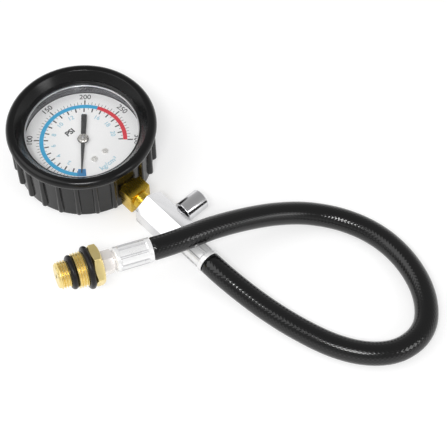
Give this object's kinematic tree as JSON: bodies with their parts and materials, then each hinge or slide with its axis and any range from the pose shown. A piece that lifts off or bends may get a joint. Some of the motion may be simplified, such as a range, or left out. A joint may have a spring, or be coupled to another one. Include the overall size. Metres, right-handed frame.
{
  "type": "compression tester gauge",
  "caption": "Engine compression tester: dial gauge in a ribbed rubber boot, push-button bleed valve, short hose and brass spark-plug adaptor.",
  "frame": {"origin": "centre of the boot's back face, on the surface that the gauge lies on", "axes": "+Z is the way the dial faces, the stem runs along -Y, and the bleed button points along +X"},
  "size_m": [0.1524, 0.2437, 0.0389],
  "materials": {
    "boot_rubber": "matt black moulded rubber",
    "case_metal": "satin",
    "bezel_metal": "polished",
    "window": "clear",
    "seal_rubber": "black, satin",
    "dial_print": "white, printed",
    "pointer_black": "satin black",
    "screw_steel": "turned",
    "movement_brass": "turned",
    "spring_steel": "drawn wire",
    "stem_brass": "turned",
    "adaptor_brass": "bright turned",
    "valve_chrome": "plated",
    "ferrule_alloy": "bright, crimped",
    "nipple_nickel": "nickel plated",
    "hose_rubber": "black with a fine cloth imprint, semi-gloss"
  },
  "bodies": {
    "gauge": {"boot": "boot_rubber", "case": "case_metal", "bezel_ring": "bezel_metal", "lens": "window", "lens_gasket": "seal_rubber", "large_o_ring": "seal_rubber", "small_o_ring": "seal_rubber", "dial_plate": "dial_print", "dial_screws": "screw_steel", "pillar_screws": "screw_steel", "movement_screws": "screw_steel", "case_screws": "screw_steel", "dial_posts": "movement_brass", "hairspring_stud": "movement_brass", "movement_back_plate": "movement_brass", "movement_front_plate": "movement_brass", "movement_pillars": "movement_brass", "bourdon_tube": "movement_brass", "valve_core_body": "movement_brass", "hairspring": "spring_steel", "bleed_spring": "spring_steel", "valve_core_spring": "spring_steel", "socket": "stem_brass", "adaptor": "adaptor_brass", "valve_body": "valve_chrome", "bleed_bush": "valve_chrome", "near_ferrule": "ferrule_alloy", "far_ferrule": "ferrule_alloy", "near_nipple": "nipple_nickel", "far_nipple": "nipple_nickel", "hose": "hose_rubber"},
    "sector": {"sector_gear": "movement_brass", "sector_arbor": "screw_steel", "link_pin": "screw_steel"},
    "pointer": {"pointer": "pointer_black", "pointer_bush": "screw_steel", "pinion": "movement_brass"},
    "link": {"link": "screw_steel"},
    "tube_tip": {"bourdon_tip": "movement_brass", "tip_pin": "screw_steel"},
    "button": {"bleed_button": "valve_chrome", "bleed_stem": "movement_brass", "bleed_seal": "seal_rubber"},
    "core_pin": {"valve_core_pin": "movement_brass", "valve_core_seal": "seal_rubber"}
  },
  "joints": [
    {"name": "sector_swing", "type": "hinge", "parent": "gauge", "child": "sector", "pos_m": [0.0162, 0, 0.0099], "axis": [0, 0, 1], "range_deg": [0, 33.75], "stiffness_Nm_per_rad": 0.02},
    {"name": "pointer_spin", "type": "hinge", "parent": "gauge", "child": "pointer", "pos_m": [0, 0, 0.0177], "axis": [0, 0, -1], "range_deg": [0, 270], "deforming": ["hairspring"]},
    {"name": "link_swing", "type": "hinge", "parent": "sector", "child": "link", "pos_m": [0.02099, -0.00361, 0.0109], "axis": [0, 0, 1], "range_deg": [-33.75, 0]},
    {"name": "tip_shift", "type": "slide", "parent": "gauge", "child": "tube_tip", "axis": [0.4018, 0.9157, 0], "range_m": [0, 0.00349], "deforming": ["bourdon_tube"]},
    {"name": "bleed_press", "type": "slide", "parent": "gauge", "child": "button", "axis": [-1, 0, 0], "range_m": [0, 0.0014], "stiffness_N_per_m": 1500, "springref_m": -0.0015, "deforming": ["bleed_spring"]},
    {"name": "core_press", "type": "slide", "parent": "gauge", "child": "core_pin", "axis": [0.9257, -0.3715, -0.0708], "range_m": [0, 0.001], "stiffness_N_per_m": 800, "springref_m": -0.0015, "deforming": ["valve_core_spring"]}
  ],
  "couplings": [
    {"joint": "pointer_spin", "follows": "sector_swing", "ratio": 8},
    {"joint": "link_swing", "follows": "sector_swing", "ratio": -1},
    {"joint": "tip_shift", "follows": "sector_swing", "m_per_rad": 0.0059248}
  ]
}
